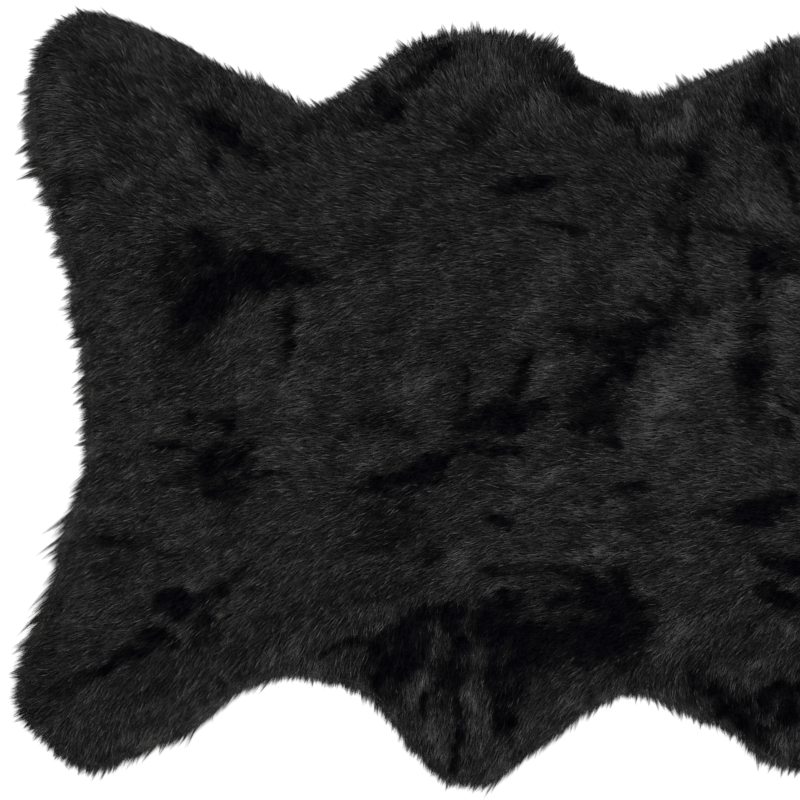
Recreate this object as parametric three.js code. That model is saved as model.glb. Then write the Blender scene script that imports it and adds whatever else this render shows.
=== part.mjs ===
// A hide-shaped faux sheepskin rug of black long-pile fur cloth, lying flat on the floor.
// Millimetres, +Z up. The floor is z = 0, and the origin is under the middle of the rug.
// The rug is one cut of cloth: a lumpy slab of pile with locks of hair all round its rim.

import * as THREE from 'three';

// Heights and widths of the pile
const PILE_HEIGHT = 21;
const RIM_HEIGHT = 8;
const RIM_UNEVEN = 0.2;
const SHOULDER_WIDTH = 75;
const LEAST_HEIGHT = 5;
const TUFT_HEIGHT = 1.2;

// The pile's surface and the flat underside are grids of cells, a little inside the rim
const SURFACE = { inset: 14, along: 66, across: 40 };
const UNDERSIDE = { inset: 30, along: 24, across: 14 };

// The rim's locks of hair: the length is a share of the edge's reach there, and turns are in degrees
const LOCKS = 300;
const LOCK = {
  spacing_uneven: 0.3,
  length: 0.8,
  length_uneven: 0.3,
  turn_uneven: 8,
  curl: 14,
  most_lean: 55,
  waist: 0.5,
  waist_width: 0.64,
  waist_height: 0.62,
};

// The far end is the near end's mirror image, a little shorter and uneven
const FAR_END = { from: 230, stretch: 0.995, sway: 7, sway_length: 210 };

// From the tables' zero to the middle of the finished rug
const TO_MIDDLE = { x: 1.6, y: 0.6 };

// Tables: each row is an object with the columns' names
function table(columns, rows) {
  return rows.map((row) => Object.fromEntries(columns.map((name, i) => [name, row[i]])));
}

// The cut edge, from the top round the near end to the bottom. x and y are a point of the edge,
// comb is the way that its hair lies in degrees from +X, and reach is how far the hair passes it.
const NEAR_EDGE = table(['x', 'y', 'comb', 'reach'], [
  [180, 435, 115, 13],
  [108, 404, 120, 14],
  [72, 390, 120, 14],
  [36, 374, 122, 14],
  [0, 364, 120, 13],
  [-26, 369, 106, 12],
  [-50, 380, 80, 4],
  [-84, 399, 60, 4],
  [-99, 420, 42, 10],
  [-138, 434, 58, 13],
  [-205, 443, 96, 14],
  [-270, 433, 112, 15],
  [-300, 419, 128, 16],
  [-330, 394, 144, 14],
  [-394, 356, 134, 13],
  [-408, 351, 118, 11],
  [-438, 367, 112, 15],
  [-474, 382, 114, 14],
  [-510, 399, 118, 8],
  [-558, 428, 136, 6],
  [-600, 446, 140, 6],
  [-646, 463, 136, 7],
  [-684, 468, 134, 9],
  [-712, 453, 158, 12],
  [-732, 426, 188, 16],
  [-745, 356, 205, 19],
  [-740, 287, 208, 19],
  [-724, 254, 212, 20],
  [-705, 184, 192, 19],
  [-694, 150, 196, 18],
  [-692, 104, 214, 18],
  [-681, 68, 208, 17],
  [-676, -40, 206, 16],
  [-678, -88, 210, 15],
  [-706, -166, 222, 17],
  [-715, -220, 226, 17],
  [-735, -265, 218, 18],
  [-751, -313, 194, 18],
  [-758, -362, 192, 17],
  [-747, -386, 215, 16],
  [-725, -408, 235, 15],
  [-696, -434, 245, 15],
  [-664, -441, 252, 15],
  [-614, -421, 245, 16],
  [-552, -395, 238, 15],
  [-522, -373, 238, 13],
  [-494, -349, 240, 13],
  [-444, -330, 248, 13],
  [-390, -335, 262, 12],
  [-340, -351, 268, 12],
  [-308, -386, 258, 15],
  [-253, -448, 252, 15],
  [-224, -460, 240, 14],
  [-190, -457, 240, 14],
  [-150, -428, 244, 13],
  [-106, -397, 242, 14],
  [-71, -370, 246, 13],
  [-26, -351, 262, 12],
  [17, -359, 284, 14],
  [60, -380, 276, 14],
  [103, -398, 268, 14],
  [139, -430, 248, 14],
  [180, -441, 250, 14],
]);

// The places where the pile parts or is pressed down: centre, length, width, the length's turn in
// degrees from +X, and depth
const HOLLOWS = table(['x', 'y', 'length', 'width', 'turn', 'depth'], [
  [-526, 328, 72, 52, 80, 6],
  [-504, 152, 180, 100, 8, 8],
  [-676, 182, 190, 34, 85, 4],
  [-318, 356, 60, 50, 0, 5],
  [-286, 388, 118, 34, 41, 5],
  [-90, 374, 62, 40, 10, 4],
  [48, 284, 48, 40, 0, 4],
  [-30, 71, 118, 70, 15, 7],
  [126, 98, 200, 44, 88, 6],
  [-162, 14, 64, 44, 90, 5],
  [-246, -58, 247, 30, 23, 5],
  [-540, -76, 130, 62, 0, 7],
  [-558, -244, 64, 44, 0, 5],
  [-634, -307, 125, 38, 28, 5],
  [130, -130, 82, 44, 5, 5],
  [-96, -268, 210, 100, -8, 8],
  [-312, -286, 150, 90, 20, 8],
  [-174, -358, 100, 40, 80, 5],
  [102, -373, 80, 60, 0, 5],
  [352, 150, 150, 70, 60, 6],
  [330, -120, 120, 60, -20, 6],
  [560, 60, 150, 62, 75, 6],
  [455, -255, 140, 70, 15, 6],
  [610, 290, 110, 50, 50, 5],
  [640, -300, 100, 44, -30, 5],
]);

// The soft lumps of the whole pile: each wave's height and length, the way that it runs in degrees
// from +X, and where it starts in radians
const LUMPS = table(['height', 'length', 'turn', 'start'], [
  [1.3, 290, 20, 0.4],
  [1.1, 205, 100, 2.1],
  [1.1, 150, 155, 4.4],
  [1.0, 118, 55, 1.3],
  [0.9, 92, 128, 3.2],
  [0.8, 74, 5, 5.1],
]);

// How much more a step across the rug counts than one along it, to tell which edge point is a paw
const PAW_SLANT = 1.6;

const FUR_COLOUR = 0x19191c;
const FULL_TURN = 2 * Math.PI;

// A repeatable run of random numbers, each from minus to plus the amount that is asked for
function unevenFrom(seed) {
  let state = seed;
  return (amount) => {
    state = (Math.imul(state, 1664525) + 1013904223) >>> 0;
    return amount * (2 * state / 4294967296 - 1);
  };
}

const unevenRim = unevenFrom(27);
const unevenPile = unevenFrom(8);

// The whole cut edge, counterclockwise seen from above
function mirrored({ x, y, comb, reach }) {
  const far = -x * FAR_END.stretch;
  return { x: far, y: y + FAR_END.sway * Math.sin(far / FAR_END.sway_length), comb: 180 - comb, reach };
}

const farEdge = NEAR_EDGE.filter(({ x }) => x < -FAR_END.from).map(mirrored).reverse();
const EDGE = [...NEAR_EDGE, ...farEdge];
const edgeCurve = new THREE.CatmullRomCurve3(
  EDGE.map(({ x, y }) => new THREE.Vector3(x, y, 0)),
  true,
  'centripetal',
);
edgeCurve.arcLengthDivisions = 4000;

// The unit step towards a number of degrees from +X
function heading(degrees) {
  const turn = THREE.MathUtils.degToRad(degrees);
  return new THREE.Vector2(Math.cos(turn), Math.sin(turn));
}

// The edge at a share of its length: its place, its outward side, and its hair
function edgeAt(share) {
  const wrapped = share - Math.floor(share);
  const t = edgeCurve.getUtoTmapping(wrapped);
  const place = edgeCurve.getPoint(t);
  const tangent = edgeCurve.getTangent(t);
  const row = Math.floor(t * EDGE.length) % EDGE.length;
  const next = (row + 1) % EDGE.length;
  const part = t * EDGE.length - Math.floor(t * EDGE.length);
  return {
    share: wrapped,
    place: new THREE.Vector2(place.x, place.y),
    outward: new THREE.Vector2(tangent.y, -tangent.x),
    comb: heading(EDGE[row].comb).lerp(heading(EDGE[next].comb), part).normalize(),
    reach: THREE.MathUtils.lerp(EDGE[row].reach, EDGE[next].reach, part),
  };
}

// A row's share of the edge's length
function shareOfRow(row) {
  const lengths = edgeCurve.getLengths();
  const at = Math.round((row / EDGE.length) * (lengths.length - 1));
  return lengths[at] / lengths[lengths.length - 1];
}

// The rim's points, a lock between each two
const rim = Array.from({ length: LOCKS }, (_, i) => {
  const step = i + 0.5 + unevenRim(LOCK.spacing_uneven / 2);
  return edgeAt(step / LOCKS);
});

// Height of the pile
function distanceToRim(point) {
  let nearest = Infinity;
  const along = new THREE.Vector2();
  const across = new THREE.Vector2();
  rim.forEach(({ place }, i) => {
    along.subVectors(rim[(i + 1) % LOCKS].place, place);
    across.subVectors(point, place);
    const share = THREE.MathUtils.clamp(across.dot(along) / along.lengthSq(), 0, 1);
    nearest = Math.min(nearest, across.addScaledVector(along, -share).length());
  });
  return nearest;
}

function hollowDepth(point) {
  return HOLLOWS.reduce((total, { x, y, length, width, turn, depth }) => {
    const from = point.clone().sub(new THREE.Vector2(x, y));
    const lengthwise = from.dot(heading(turn));
    const crosswise = from.cross(heading(turn));
    return total + depth * Math.exp(-((2 * lengthwise / length) ** 2) - (2 * crosswise / width) ** 2);
  }, 0);
}

function lumpHeight(point) {
  return LUMPS.reduce((total, { height, length, turn, start }) => {
    return total + height * Math.sin(FULL_TURN * point.dot(heading(turn)) / length + start);
  }, unevenPile(TUFT_HEIGHT));
}

function pileHeight(point) {
  const inside = Math.min(distanceToRim(point) / SHOULDER_WIDTH, 1);
  const shoulder = 1 - (1 - inside) ** 2;
  const crown = RIM_HEIGHT + (PILE_HEIGHT - RIM_HEIGHT) * shoulder;
  return Math.max(LEAST_HEIGHT, crown + shoulder * lumpHeight(point) - hollowDepth(point));
}

// The closed surface of the rug is gathered here
const corners = [];
const triangles = [];

function corner(point, height) {
  corners.push(point.x + TO_MIDDLE.x, point.y + TO_MIDDLE.y, height);
  return corners.length / 3 - 1;
}

const upward = (a, b, c) => triangles.push(a, b, c);
const downward = (a, b, c) => triangles.push(a, c, b);

// Four corners, counterclockwise, split along the shorter diagonal
function quad(face, a, b, c, d) {
  const at = (i) => new THREE.Vector3().fromArray(corners, 3 * i);
  if (at(a).distanceTo(at(c)) < at(b).distanceTo(at(d))) {
    face(a, b, c);
    face(a, c, d);
  } else {
    face(a, b, d);
    face(b, c, d);
  }
}

// The four paws are the rows of the edge that reach furthest towards the corners of the rug
function pawShare(signX, signY) {
  const out = EDGE.map(({ x, y }) => signX * x + signY * y * PAW_SLANT);
  return shareOfRow(out.indexOf(Math.max(...out)));
}

// A side of a grid, some way inside the cut edge
function gridSide(from, to, cells, inset) {
  const span = to > from ? to - from : to - from + 1;
  return Array.from({ length: cells + 1 }, (_, i) => {
    const at = edgeAt(from + (span * i) / cells);
    at.place.addScaledVector(at.outward, -inset);
    return at;
  });
}

// A grid stretched between its four sides. It gives its outer ring, in order along the edge.
function grid({ inset, along, across }, height, face) {
  const [upperNear, lowerNear] = [pawShare(-1, 1), pawShare(-1, -1)];
  const [lowerFar, upperFar] = [pawShare(1, -1), pawShare(1, 1)];
  const bottom = gridSide(lowerNear, lowerFar, along, inset);
  const far = gridSide(lowerFar, upperFar, across, inset);
  const top = gridSide(upperFar, upperNear, along, inset).reverse();
  const near = gridSide(upperNear, lowerNear, across, inset).reverse();

  const indices = bottom.map((_, i) => far.map((__, j) => {
    const s = i / along;
    const t = j / across;
    const point = new THREE.Vector2()
      .addScaledVector(bottom[i].place, 1 - t)
      .addScaledVector(top[i].place, t)
      .addScaledVector(near[j].place, 1 - s)
      .addScaledVector(far[j].place, s)
      .addScaledVector(bottom[0].place, -(1 - s) * (1 - t))
      .addScaledVector(far[0].place, -s * (1 - t))
      .addScaledVector(near[across].place, -(1 - s) * t)
      .addScaledVector(far[across].place, -s * t);
    return corner(point, height(point));
  }));
  for (let i = 0; i < along; i += 1) {
    for (let j = 0; j < across; j += 1) {
      quad(face, indices[i][j], indices[i + 1][j], indices[i + 1][j + 1], indices[i][j + 1]);
    }
  }

  const ring = [
    ...bottom.slice(0, -1).map(({ share }, i) => ({ share, index: indices[i][0] })),
    ...far.slice(0, -1).map(({ share }, j) => ({ share, index: indices[along][j] })),
    ...top.slice(1).map(({ share }, i) => ({ share, index: indices[i + 1][across] })),
    ...near.slice(1).map(({ share }, j) => ({ share, index: indices[0][j + 1] })),
  ];
  return ring.sort((a, b) => a.share - b.share);
}

// A strip joins the rim's points to a grid's outer ring, whichever comes next along the edge
function strip(outer, inner, face) {
  const shareAt = (ring, i) => ring[i % ring.length].share + Math.floor(i / ring.length);
  let o = 0;
  let i = 0;
  while (o < outer.length || i < inner.length) {
    const outerNow = outer[o % outer.length].index;
    const innerNow = inner[i % inner.length].index;
    if (i >= inner.length || (o < outer.length && shareAt(outer, o + 1) < shareAt(inner, i + 1))) {
      o += 1;
      face(outerNow, outer[o % outer.length].index, innerNow);
    } else {
      i += 1;
      face(outerNow, inner[i % inner.length].index, innerNow);
    }
  }
}

// A lock grows from the wall between two rim points, lies on the floor along its hair and tapers
// to a tip. It leans away from square to the edge by no more than the most lean.
function lock(start, end) {
  const root = start.place.clone().add(end.place).multiplyScalar(0.5);
  const square = start.outward.clone().add(end.outward).normalize();
  const combed = THREE.MathUtils.radToDeg(Math.atan2(square.cross(start.comb), square.dot(start.comb)));
  const lean = THREE.MathUtils.clamp(combed, -LOCK.most_lean, LOCK.most_lean) + unevenRim(LOCK.turn_uneven);
  const straight = THREE.MathUtils.radToDeg(square.angle());
  const along = heading(straight + lean);
  const tipAlong = heading(straight + lean + unevenRim(LOCK.curl));
  const length = LOCK.length * start.reach * (1 + unevenRim(LOCK.length_uneven)) / along.dot(square);
  const sideways = end.place.clone().sub(start.place).multiplyScalar(0.5 * LOCK.waist_width);
  const waist = root.clone().addScaledVector(along, length * LOCK.waist);
  const tip = waist.clone().addScaledVector(tipAlong, length * (1 - LOCK.waist));
  const startWaist = waist.clone().sub(sideways);
  const endWaist = waist.clone().add(sideways);
  const height = 0.5 * (start.height + end.height) * LOCK.waist_height;

  const rootRing = [start.floor, end.floor, end.index, start.index];
  const waistRing = [
    corner(startWaist, 0),
    corner(endWaist, 0),
    corner(endWaist, height),
    corner(startWaist, height),
  ];
  const point = corner(tip, 0);
  rootRing.forEach((_, k) => {
    const next = (k + 1) % rootRing.length;
    quad(upward, rootRing[k], rootRing[next], waistRing[next], waistRing[k]);
    upward(waistRing[k], waistRing[next], point);
  });
}

function furRug() {
  rim.forEach((at) => {
    at.height = RIM_HEIGHT * (1 + unevenRim(RIM_UNEVEN));
    at.index = corner(at.place, at.height);
    at.floor = corner(at.place, 0);
  });
  const rimOnFloor = rim.map(({ share, floor }) => ({ share, index: floor }));
  strip(rim, grid(SURFACE, pileHeight, upward), upward);
  strip(rimOnFloor, grid(UNDERSIDE, () => 0, downward), downward);
  rim.forEach((at, i) => lock(at, rim[(i + 1) % LOCKS]));

  const geometry = new THREE.BufferGeometry();
  geometry.setAttribute('position', new THREE.Float32BufferAttribute(corners, 3));
  geometry.setIndex(triangles);
  geometry.computeVertexNormals();
  const fur = new THREE.MeshStandardMaterial({ color: FUR_COLOUR, roughness: 0.95, metalness: 0 });
  const mesh = new THREE.Mesh(geometry, fur);
  mesh.name = 'fur_rug';
  return mesh;
}

const rug = new THREE.Group();
rug.add(furRug());

export default rug;
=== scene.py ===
"""The looks of a hide-shaped faux sheepskin rug: its knitted base cloth, its dark undercoat and the
hairs of its long black pile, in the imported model's frame and in metres."""

import math

import bpy
import numpy as np
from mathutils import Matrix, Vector
from mathutils.kdtree import KDTree


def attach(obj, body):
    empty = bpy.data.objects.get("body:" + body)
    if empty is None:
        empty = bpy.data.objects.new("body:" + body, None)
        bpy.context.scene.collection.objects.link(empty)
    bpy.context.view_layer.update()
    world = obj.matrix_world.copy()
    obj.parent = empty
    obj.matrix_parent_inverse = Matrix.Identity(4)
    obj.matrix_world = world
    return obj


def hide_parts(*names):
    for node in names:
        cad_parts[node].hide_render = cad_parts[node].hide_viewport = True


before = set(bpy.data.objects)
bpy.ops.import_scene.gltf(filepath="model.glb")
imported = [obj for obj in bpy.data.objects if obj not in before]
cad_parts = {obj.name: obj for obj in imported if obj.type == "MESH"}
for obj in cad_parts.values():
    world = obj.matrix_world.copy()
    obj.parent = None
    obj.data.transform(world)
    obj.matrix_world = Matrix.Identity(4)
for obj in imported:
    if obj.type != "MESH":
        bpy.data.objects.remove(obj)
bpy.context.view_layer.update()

bl_info = {
    "name": "Faux sheepskin rug",
    "version": (1, 0, 0),
    "blender": (4, 5, 0),
    "location": "3D View > Sidebar > Fur rug",
    "description": "Builds a hide-shaped rug of long black fur cloth, hair by hair",
    "category": "Object",
}

NODE = "fur_rug"
BODY = "root"
HAIR_MAP = "OFBake"
MM = 0.001


def table(columns, rows):
    """A short table as one array for each named column."""
    return dict(zip(columns.split(), np.array(rows, float).T))


# The cut edge of the cloth in millimetres, from the top round the near end to the bottom. comb is
# the way that its hair lies in degrees from +X, and reach is how far the hair passes the edge.
NEAR_EDGE = table("x y comb reach", [
    (180, 435, 115, 12), (108, 404, 120, 12.5), (72, 390, 120, 13), (36, 374, 122, 14),
    (0, 364, 120, 13), (-26, 369, 106, 12), (-50, 380, 80, 4), (-86, 398, 60, 4), (-101, 420, 50, 12),
    (-138, 434, 58, 13), (-205, 443, 96, 14), (-270, 433, 112, 15), (-300, 419, 128, 16),
    (-330, 394, 144, 12.5), (-394, 356, 134, 12), (-408, 351, 118, 11), (-438, 367, 112, 15),
    (-474, 382, 114, 14), (-510, 399, 118, 8), (-558, 428, 136, 6.5), (-600, 446, 136, 7.5),
    (-646, 463, 134, 7.5), (-684, 468, 134, 8), (-712, 453, 158, 11), (-732, 426, 188, 14.5),
    (-745, 356, 205, 19), (-740, 287, 208, 19), (-724, 254, 212, 18), (-705, 184, 192, 21),
    (-694, 150, 196, 21), (-692, 104, 214, 20), (-681, 68, 208, 17), (-676, -40, 206, 16),
    (-678, -88, 210, 17), (-706, -166, 222, 20), (-715, -220, 226, 20), (-735, -265, 218, 20),
    (-751, -313, 194, 18), (-758, -362, 192, 17), (-747, -386, 215, 16), (-725, -408, 235, 15),
    (-696, -434, 245, 15), (-664, -441, 252, 15), (-614, -421, 245, 14), (-552, -395, 238, 13.5),
    (-522, -373, 238, 12), (-494, -349, 240, 11), (-444, -330, 248, 13), (-390, -335, 262, 12),
    (-340, -351, 268, 12), (-308, -386, 258, 13), (-253, -448, 252, 15), (-224, -460, 240, 14),
    (-190, -457, 240, 14), (-150, -428, 244, 13), (-106, -397, 242, 14), (-71, -370, 246, 11.5),
    (-26, -351, 262, 11), (17, -359, 284, 14), (60, -380, 276, 12.5), (103, -398, 268, 12.5),
    (139, -430, 248, 12.5), (180, -441, 250, 13),
])

# The far end is the near end's mirror image, a little shorter and uneven
FAR_FROM = 230
FAR_STRETCH = 0.995
FAR_SWAY = 7
FAR_SWAY_LENGTH = 210

# From the tables' zero to the middle of the rug
TO_MIDDLE = np.array([1.6, 0.6])

# The way that the pile is combed, at places in millimetres, in degrees from +X
COMB = table("x y comb", [
    (-732, 410, 195), (-684, 446, 150), (-660, 398, 134), (-600, 362, 128), (-540, 404, 142),
    (-480, 374, 114), (-420, 347, 114), (-378, 356, 128), (-624, 278, 145), (-708, 278, 216),
    (-540, 254, 150), (-420, 302, 158), (-360, 242, 170), (-660, 170, 210), (-600, 86, 208),
    (-504, 140, 236), (-396, 86, 203), (-324, 122, 196), (-276, 410, 118), (-180, 410, 102),
    (-108, 404, 80), (-132, 350, 120), (-60, 356, 146), (-6, 344, 105), (60, 350, 115), (132, 374, 122),
    (174, 416, 112), (-276, 278, 165), (-156, 266, 175), (-60, 242, 162), (60, 254, 150),
    (144, 266, 142), (-276, 170, 186), (-156, 158, 180), (-36, 170, 167), (60, 122, 168),
    (156, 122, 176), (-240, 62, 198), (-108, 62, 184), (-12, 62, 168), (84, 50, 182), (-666, 2, 204),
    (-540, -58, 200), (-396, -70, 178), (-420, -154, 206), (-312, -142, 208), (-648, -118, 206),
    (-702, -172, 214), (-600, -190, 205), (-492, -202, 216), (-408, -250, 225), (-660, -262, 200),
    (-734, -286, 186), (-744, -358, 205), (-666, -358, 235), (-678, -424, 252), (-612, -400, 244),
    (-552, -346, 235), (-468, -298, 228), (-396, -322, 244), (-336, -286, 245), (-288, -346, 268),
    (-246, -286, 265), (-228, -406, 262), (-180, -346, 248), (-144, -406, 233), (-102, -358, 228),
    (-48, -334, 212), (-108, -250, 190), (-12, -250, 196), (48, -286, 224), (6, -346, 240),
    (66, -358, 288), (114, -376, 276), (114, -286, 226), (168, -406, 246), (-240, -172, 200),
    (-120, -82, 181), (0, -22, 180), (-108, -166, 178), (12, -142, 180), (114, -172, 193),
    (168, -58, 160), (60, -220, 205), (300, 330, 135), (300, 120, 172), (300, -60, 184),
    (290, -300, 228), (430, 300, 95), (430, 60, 170), (430, -120, 195), (430, -280, 262),
    (540, 330, 62), (540, 0, 150), (560, -300, 300), (640, 400, 50), (640, 160, 40), (640, -60, 340),
    (650, -380, 305), (720, 330, 15), (730, -330, 345),
])

# The places where the pile parts or is pressed down, in millimetres: the length's turn is in
# degrees from +X, and the depth is how far the pile sinks and how much painted shade darkens its hairs
HOLLOWS = table("x y length width turn depth", [
    (-528, 334, 46, 28, -35, 6.5), (-508, 322, 42, 30, -60, 6), (-478, 297, 46, 26, -40, 4),
    (-524, 292, 26, 14, 80, 4), (-562, 352, 40, 8, -15, 2.5), (-708, 235, 90, 18, 78, 3),
    (-645, 370, 110, 44, -35, 1), (-615, 290, 60, 36, -60, 1), (-530, 178, 60, 44, -50, 6.5),
    (-532, 126, 104, 52, 38, 7.5), (-472, 155, 74, 50, 0, 8), (-424, 152, 66, 24, -8, 6.5),
    (-501, 150, 56, 36, 80, 7), (-452, 172, 44, 14, -20, 6), (-575, 150, 90, 36, 90, 3),
    (-545, 82, 74, 30, 35, 4), (-560, 50, 90, 40, 20, 1.5), (-435, 85, 84, 20, 88, 4.5),
    (-505, -24, 36, 22, 75, 6.5), (-540, -22, 44, 14, -10, 2.5), (-577, -53, 62, 14, -8, 5),
    (-515, -71, 70, 36, -5, 6.5), (-532, -90, 80, 24, -10, 4.5), (-486, -64, 30, 26, 60, 6),
    (-472, -88, 64, 12, 0, 6), (-565, -96, 60, 18, 10, 3.5), (-512, -108, 66, 16, 5, 4),
    (-640, -167, 54, 16, 0, 4), (-590, -180, 74, 10, -15, 3), (-567, -242, 52, 30, 0, 8.5),
    (-538, -240, 30, 24, 0, 6), (-515, -225, 84, 18, 38, 4.5), (-538, -264, 40, 22, 60, 4),
    (-535, -287, 56, 22, 45, 3), (-592, -285, 44, 18, -12, 7), (-622, -303, 60, 16, 25, 6),
    (-655, -319, 84, 18, 25, 6.5), (-712, -348, 70, 20, 15, 1.5), (-720, -262, 50, 20, 70, 2),
    (-318, 358, 50, 32, -55, 6), (-330, 340, 50, 22, 20, 3), (-262, 405, 84, 20, 42, 5.5),
    (-243, 420, 30, 18, 80, 8), (-295, 378, 40, 20, 60, 3.5), (-212, 328, 90, 28, 42, 2.5),
    (-150, 262, 80, 22, 8, 7), (-188, 254, 36, 14, 20, 3), (-325, 180, 90, 50, 20, 0.8),
    (-250, 185, 60, 40, 90, 0.6), (-126, 408, 50, 26, -75, 2.2), (-102, 388, 40, 26, -50, 3.2),
    (-86, 370, 44, 22, -15, 4.8), (-28, 338, 40, 20, -50, 4), (-14, 316, 50, 14, -70, 3),
    (25, 302, 90, 12, 0, 3), (57, 288, 54, 24, 80, 5.2), (40, 210, 120, 18, 92, 4),
    (20, 218, 70, 30, 80, 2), (-102, 208, 60, 14, -12, 5), (95, 205, 50, 10, -20, 4),
    (135, 376, 60, 28, 75, 4), (125, 350, 40, 26, 60, 5.5), (148, 334, 74, 36, -45, 5),
    (168, 262, 90, 14, -70, 4), (134, 172, 40, 30, -60, 7.5), (150, 178, 80, 44, -40, 3.2),
    (128, 138, 32, 18, 90, 5.5), (134, 92, 24, 16, 0, 6), (128, 72, 66, 36, 90, 2.8),
    (122, 36, 46, 38, 60, 8), (125, 0, 70, 30, 85, 4), (165, -6, 50, 8, -40, 5),
    (160, -30, 30, 24, 0, 3.5), (-224, 20, 54, 12, -85, 5.5), (-153, 30, 62, 20, 75, 7),
    (-182, -20, 84, 38, 0, 7), (-168, -22, 44, 36, 0, 8.5), (-218, -22, 50, 36, 0, 5),
    (-138, -8, 34, 14, 0, 5), (-318, -25, 74, 28, -5, 2.5), (-300, -38, 50, 14, 10, 3),
    (-22, 70, 70, 40, 15, 7.5), (4, 82, 46, 24, 30, 7), (-32, 44, 54, 30, 40, 7),
    (-66, 74, 54, 36, 0, 5), (2, 115, 44, 12, -25, 5), (26, 112, 44, 14, 20, 4),
    (32, 132, 46, 22, 40, 3), (62, 110, 50, 14, 5, 3.5), (-95, 82, 36, 14, -15, 4),
    (-68, 20, 56, 30, 30, 5), (-60, -10, 60, 56, 90, 4), (-85, -30, 30, 24, 40, 6.5),
    (-46, -45, 32, 16, 90, 4.5), (-330, -98, 62, 14, 15, 6.5), (-285, -88, 62, 20, 25, 7.5),
    (-260, -76, 62, 18, 28, 8), (-225, -59, 60, 14, 20, 6.5), (-178, -60, 50, 12, -5, 5),
    (-272, -101, 50, 14, 30, 6), (-320, -109, 36, 10, -8, 8), (-290, -110, 44, 12, 0, 4.5),
    (-320, -130, 90, 30, -5, 2), (-175, -147, 36, 20, -20, 4.5), (-310, -160, 90, 34, 10, 2),
    (-263, -180, 44, 18, 60, 3.5), (-290, -215, 60, 40, 60, 1.5), (-335, -235, 50, 24, 20, 2),
    (-185, -203, 80, 10, 0, 2.5), (-378, -297, 70, 10, 20, 4), (-345, -290, 50, 12, 0, 5),
    (-312, -302, 76, 48, 35, 7), (-290, -275, 60, 28, 45, 7), (-255, -256, 66, 22, 0, 7.5),
    (-236, -272, 44, 16, -60, 7), (-225, -292, 30, 26, 60, 7.5), (-320, -328, 50, 22, 70, 7.5),
    (-297, -330, 34, 18, 60, 7), (-320, -350, 44, 22, 50, 4), (-280, -310, 60, 22, 60, 6),
    (-236, -320, 60, 36, 60, 6), (-245, -346, 40, 18, 70, 5), (-232, -368, 60, 12, -70, 4.5),
    (-228, -405, 50, 12, 85, 8), (-233, -432, 40, 12, 80, 5), (-270, -365, 40, 10, 85, 4.5),
    (-180, -272, 66, 56, 0, 8), (-178, -240, 64, 20, -5, 5), (-188, -320, 54, 24, 80, 7.5),
    (-178, -372, 70, 28, -75, 7), (-165, -345, 64, 40, 60, 4), (-166, -310, 54, 46, 30, 5.5),
    (-150, -290, 60, 40, 90, 7), (-20, -103, 52, 18, -5, 3.5), (-10, -135, 70, 40, 0, 1.5),
    (62, -135, 54, 14, 0, 3.5), (123, -133, 72, 30, 5, 8.5), (152, -122, 50, 26, 15, 7),
    (150, -192, 50, 16, -25, 5.5), (168, -198, 50, 18, -15, 7), (142, -230, 30, 22, -20, 7.5),
    (165, -240, 46, 22, -30, 8), (125, -268, 26, 14, 60, 3.5), (-82, -214, 64, 18, -20, 6),
    (-65, -230, 94, 22, 5, 7), (-107, -240, 50, 18, 20, 6), (-35, -226, 44, 36, 90, 5.5),
    (-45, -246, 90, 24, 0, 7.5), (-65, -283, 134, 50, 0, 7.5), (-28, -275, 66, 56, 0, 6),
    (-132, -292, 60, 60, 0, 6.5), (-75, -310, 66, 20, 0, 5), (-22, -312, 50, 24, 20, 4),
    (60, -330, 40, 28, -60, 4), (76, -350, 60, 36, -30, 5), (95, -370, 60, 28, -40, 5.5),
    (120, -376, 60, 38, 20, 6), (145, -355, 70, 22, 40, 6), (166, -345, 44, 20, 0, 7),
    (165, -370, 50, 26, 60, 6), (125, -400, 54, 22, -30, 5), (352, 150, 130, 54, 60, 5),
    (330, -120, 110, 44, -20, 5.5), (430, 330, 70, 34, 20, 4), (560, 60, 130, 50, 75, 6),
    (455, -255, 120, 54, 15, 6), (610, 290, 96, 36, 50, 3.5), (640, -300, 92, 30, -30, 4.5),
    (300, 300, 90, 26, -40, 3), (480, -60, 100, 30, 10, 3), (680, -40, 90, 30, 80, 3),
    (290, -350, 90, 40, 60, 5), (380, 20, 80, 20, 30, 5), (520, 200, 90, 16, -30, 5),
    (590, -160, 80, 22, 40, 5), (240, 40, 60, 30, 80, 4), (260, -220, 90, 24, -15, 5),
])
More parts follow.
